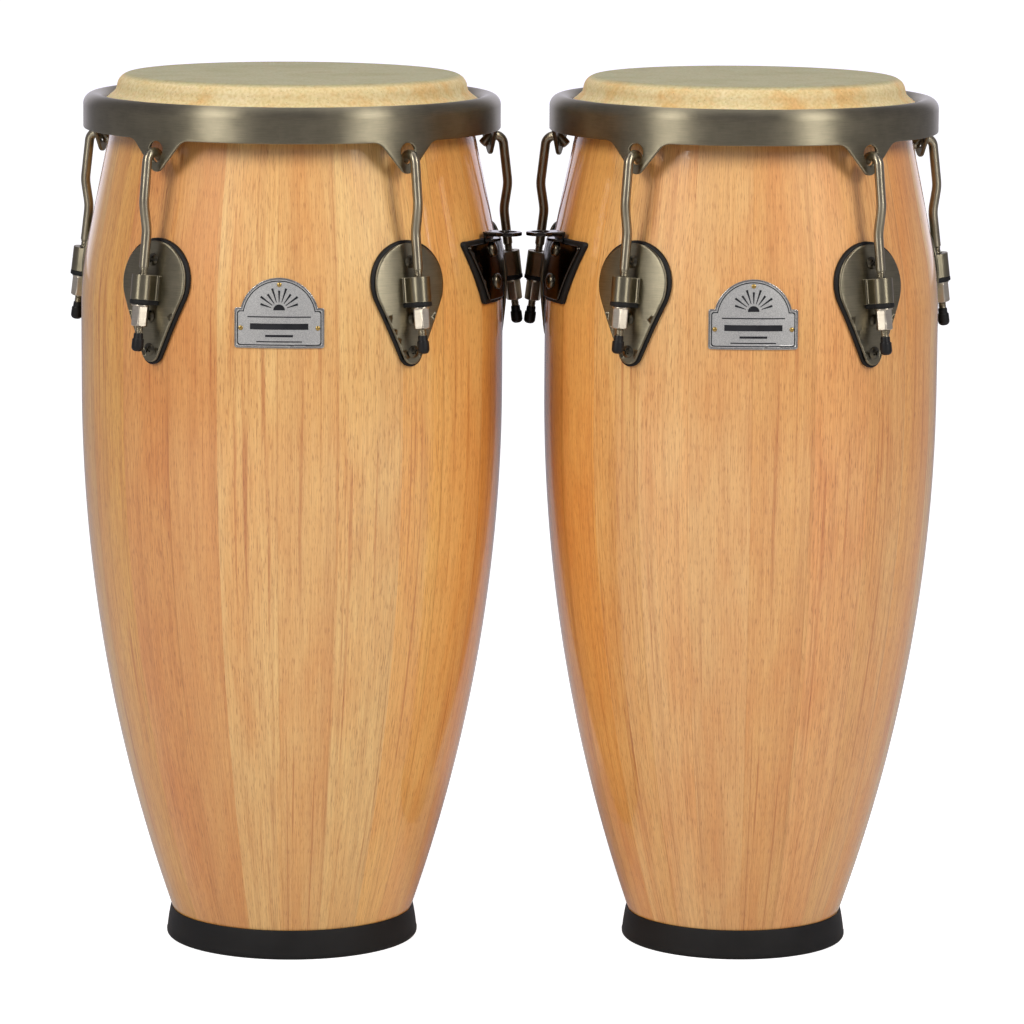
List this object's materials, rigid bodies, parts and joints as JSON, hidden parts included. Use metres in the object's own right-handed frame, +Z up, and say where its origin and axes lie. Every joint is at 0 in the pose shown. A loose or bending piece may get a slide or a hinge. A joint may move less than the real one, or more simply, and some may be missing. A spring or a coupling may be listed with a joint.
{
  "type": "conga drum pair",
  "caption": "Pair of tall barrel-shaped stave drums with rawhide heads, rolled steel rims, hooked tuning rods and rubber boots.",
  "frame": {"origin": "on the floor, at the middle of the pair's footprint", "axes": "+Z up along both drums' axes, +X from the large drum to the small one, -Y the side that the badges face"},
  "size_m": [0.7311, 0.3711, 0.7161],
  "materials": {
    "lacquered_oak": "gloss lacquer",
    "boot_rubber": "matt",
    "brushed_nickel": "brushed, antique",
    "rawhide": "natural hide",
    "hoop_steel": "plain",
    "gasket_rubber": "satin",
    "screw_steel": "satin",
    "bracket_steel": "dark plate, satin",
    "bracket_bolt_steel": "satin",
    "badge_alloy": "satin",
    "pin_brass": "polished",
    "hook_nickel": "brushed, antique",
    "bright_nickel": "bright satin",
    "cap_rubber": "satin"
  },
  "bodies": {
    "large_drum": {"large_shell": "lacquered_oak", "large_boot": "boot_rubber", "large_skin": "rawhide", "large_flesh_hoop": "hoop_steel", "large_lug_plates": "brushed_nickel", "large_lug_gaskets": "gasket_rubber", "large_lug_screws": "screw_steel", "large_lug_sockets": "brushed_nickel", "large_lug_cushions": "gasket_rubber", "large_bracket": "bracket_steel", "large_bracket_gasket": "gasket_rubber", "large_bracket_bolts": "bracket_bolt_steel", "large_badge": "badge_alloy", "large_badge_pins": "pin_brass"},
    "large_rim": {"large_rim": "brushed_nickel"},
    "small_drum": {"small_shell": "lacquered_oak", "small_boot": "boot_rubber", "small_skin": "rawhide", "small_flesh_hoop": "hoop_steel", "small_lug_plates": "brushed_nickel", "small_lug_gaskets": "gasket_rubber", "small_lug_screws": "screw_steel", "small_lug_sockets": "brushed_nickel", "small_lug_cushions": "gasket_rubber", "small_bracket": "bracket_steel", "small_bracket_gasket": "gasket_rubber", "small_bracket_bolts": "bracket_bolt_steel", "small_badge": "badge_alloy", "small_badge_pins": "pin_brass"},
    "small_rim": {"small_rim": "brushed_nickel"},
    "large_hook_1": {"large_hook_1": "hook_nickel", "large_cap_1": "cap_rubber"},
    "large_nut_1": {"large_nut_1": "bright_nickel"},
    "large_hook_2": {"large_hook_2": "hook_nickel", "large_cap_2": "cap_rubber"},
    "large_nut_2": {"large_nut_2": "bright_nickel"},
    "large_hook_3": {"large_hook_3": "hook_nickel", "large_cap_3": "cap_rubber"},
    "large_nut_3": {"large_nut_3": "bright_nickel"},
    "large_hook_4": {"large_hook_4": "hook_nickel", "large_cap_4": "cap_rubber"},
    "large_nut_4": {"large_nut_4": "bright_nickel"},
    "large_hook_5": {"large_hook_5": "hook_nickel", "large_cap_5": "cap_rubber"},
    "large_nut_5": {"large_nut_5": "bright_nickel"},
    "small_hook_1": {"small_hook_1": "hook_nickel", "small_cap_1": "cap_rubber"},
    "small_nut_1": {"small_nut_1": "bright_nickel"},
    "small_hook_2": {"small_hook_2": "hook_nickel", "small_cap_2": "cap_rubber"},
    "small_nut_2": {"small_nut_2": "bright_nickel"},
    "small_hook_3": {"small_hook_3": "hook_nickel", "small_cap_3": "cap_rubber"},
    "small_nut_3": {"small_nut_3": "bright_nickel"},
    "small_hook_4": {"small_hook_4": "hook_nickel", "small_cap_4": "cap_rubber"},
    "small_nut_4": {"small_nut_4": "bright_nickel"},
    "small_hook_5": {"small_hook_5": "hook_nickel", "small_cap_5": "cap_rubber"},
    "small_nut_5": {"small_nut_5": "bright_nickel"}
  },
  "joints": [
    {"name": "small_drum_slide", "type": "slide", "parent": "large_drum", "child": "small_drum", "axis": [1, 0, 0], "range_m": [0, 0.3]},
    {"name": "large_rim_slide", "type": "slide", "parent": "large_drum", "child": "large_rim", "axis": [0, 0, 1], "range_m": [0, 0.0045]},
    {"name": "large_hook_slide_1", "type": "slide", "parent": "large_drum", "child": "large_hook_1", "axis": [-0.0739, 0.1055, 0.9917], "range_m": [0, 0.0046]},
    {"name": "large_nut_turn_1", "type": "hinge", "parent": "large_drum", "child": "large_nut_1", "pos_m": [-0.07153, -0.16597, 0.5565], "axis": [0.0739, -0.1055, -0.9917], "range_deg": [0, 1320]},
    {"name": "large_hook_slide_2", "type": "slide", "parent": "large_drum", "child": "large_hook_2", "axis": [-0.1232, -0.0377, 0.9917], "range_m": [0, 0.0046]},
    {"name": "large_nut_turn_2", "type": "hinge", "parent": "large_drum", "child": "large_nut_2", "pos_m": [-0.00015, 0.04133, 0.5565], "axis": [0.1232, 0.0377, -0.9917], "range_deg": [0, 1320]},
    {"name": "large_hook_slide_3", "type": "slide", "parent": "large_drum", "child": "large_hook_3", "axis": [-0.0022, -0.1288, 0.9917], "range_m": [0, 0.0046]},
    {"name": "large_nut_turn_3", "type": "hinge", "parent": "large_drum", "child": "large_nut_3", "pos_m": [-0.17525, 0.17327, 0.5565], "axis": [0.0022, 0.1288, -0.9917], "range_deg": [0, 1320]},
    {"name": "large_hook_slide_4", "type": "slide", "parent": "large_drum", "child": "large_hook_4", "axis": [0.1218, -0.0419, 0.9917], "range_m": [0, 0.0046]},
    {"name": "large_nut_turn_4", "type": "hinge", "parent": "large_drum", "child": "large_nut_4", "pos_m": [-0.35484, 0.04752, 0.5565], "axis": [-0.1218, 0.0419, -0.9917], "range_deg": [0, 1320]},
    {"name": "large_hook_slide_5", "type": "slide", "parent": "large_drum", "child": "large_hook_5", "axis": [0.0775, 0.1029, 0.9917], "range_m": [0, 0.0046]},
    {"name": "large_nut_turn_5", "type": "hinge", "parent": "large_drum", "child": "large_nut_5", "pos_m": [-0.29074, -0.16215, 0.5565], "axis": [-0.0775, -0.1029, -0.9917], "range_deg": [0, 1320]},
    {"name": "small_rim_slide", "type": "slide", "parent": "small_drum", "child": "small_rim", "axis": [0, 0, 1], "range_m": [0, 0.0045]},
    {"name": "small_hook_slide_1", "type": "slide", "parent": "small_drum", "child": "small_hook_1", "axis": [-0.0775, 0.1029, 0.9917], "range_m": [0, 0.0046]},
    {"name": "small_nut_turn_1", "type": "hinge", "parent": "small_drum", "child": "small_nut_1", "pos_m": [0.29482, -0.15296, 0.5565], "axis": [0.0775, -0.1029, -0.9917], "range_deg": [0, 1320]},
    {"name": "small_hook_slide_2", "type": "slide", "parent": "small_drum", "child": "small_hook_2", "axis": [-0.1218, -0.0419, 0.9917], "range_m": [0, 0.0046]},
    {"name": "small_nut_turn_2", "type": "hinge", "parent": "small_drum", "child": "small_nut_2", "pos_m": [0.35497, 0.04377, 0.5565], "axis": [0.1218, 0.0419, -0.9917], "range_deg": [0, 1320]},
    {"name": "small_hook_slide_3", "type": "slide", "parent": "small_drum", "child": "small_hook_3", "axis": [0.0022, -0.1288, 0.9917], "range_m": [0, 0.0046]},
    {"name": "small_nut_turn_3", "type": "hinge", "parent": "small_drum", "child": "small_nut_3", "pos_m": [0.18645, 0.16177, 0.5565], "axis": [-0.0022, 0.1288, -0.9917], "range_deg": [0, 1320]},
    {"name": "small_hook_slide_4", "type": "slide", "parent": "small_drum", "child": "small_hook_4", "axis": [0.1232, -0.0377, 0.9917], "range_m": [0, 0.0046]},
    {"name": "small_nut_turn_4", "type": "hinge", "parent": "small_drum", "child": "small_nut_4", "pos_m": [0.02215, 0.03796, 0.5565], "axis": [-0.1232, 0.0377, -0.9917], "range_deg": [0, 1320]},
    {"name": "small_hook_slide_5", "type": "slide", "parent": "small_drum", "child": "small_hook_5", "axis": [0.0739, 0.1055, 0.9917], "range_m": [0, 0.0046]},
    {"name": "small_nut_turn_5", "type": "hinge", "parent": "small_drum", "child": "small_nut_5", "pos_m": [0.08912, -0.15655, 0.5565], "axis": [-0.0739, -0.1055, -0.9917], "range_deg": [0, 1320]}
  ],
  "couplings": [
    {"joint": "large_hook_slide_1", "follows": "large_rim_slide", "ratio": 1.0084},
    {"joint": "large_nut_turn_1", "follows": "large_rim_slide", "rad_per_m": 5068.8},
    {"joint": "large_hook_slide_2", "follows": "large_rim_slide", "ratio": 1.0084},
    {"joint": "large_nut_turn_2", "follows": "large_rim_slide", "rad_per_m": 5068.8},
    {"joint": "large_hook_slide_3", "follows": "large_rim_slide", "ratio": 1.0084},
    {"joint": "large_nut_turn_3", "follows": "large_rim_slide", "rad_per_m": 5068.8},
    {"joint": "large_hook_slide_4", "follows": "large_rim_slide", "ratio": 1.0084},
    {"joint": "large_nut_turn_4", "follows": "large_rim_slide", "rad_per_m": 5068.8},
    {"joint": "large_hook_slide_5", "follows": "large_rim_slide", "ratio": 1.0084},
    {"joint": "large_nut_turn_5", "follows": "large_rim_slide", "rad_per_m": 5068.8},
    {"joint": "small_hook_slide_1", "follows": "small_rim_slide", "ratio": 1.0084},
    {"joint": "small_nut_turn_1", "follows": "small_rim_slide", "rad_per_m": 5068.8},
    {"joint": "small_hook_slide_2", "follows": "small_rim_slide", "ratio": 1.0084},
    {"joint": "small_nut_turn_2", "follows": "small_rim_slide", "rad_per_m": 5068.8},
    {"joint": "small_hook_slide_3", "follows": "small_rim_slide", "ratio": 1.0084},
    {"joint": "small_nut_turn_3", "follows": "small_rim_slide", "rad_per_m": 5068.8},
    {"joint": "small_hook_slide_4", "follows": "small_rim_slide", "ratio": 1.0084},
    {"joint": "small_nut_turn_4", "follows": "small_rim_slide", "rad_per_m": 5068.8},
    {"joint": "small_hook_slide_5", "follows": "small_rim_slide", "ratio": 1.0084},
    {"joint": "small_nut_turn_5", "follows": "small_rim_slide", "rad_per_m": 5068.8}
  ]
}
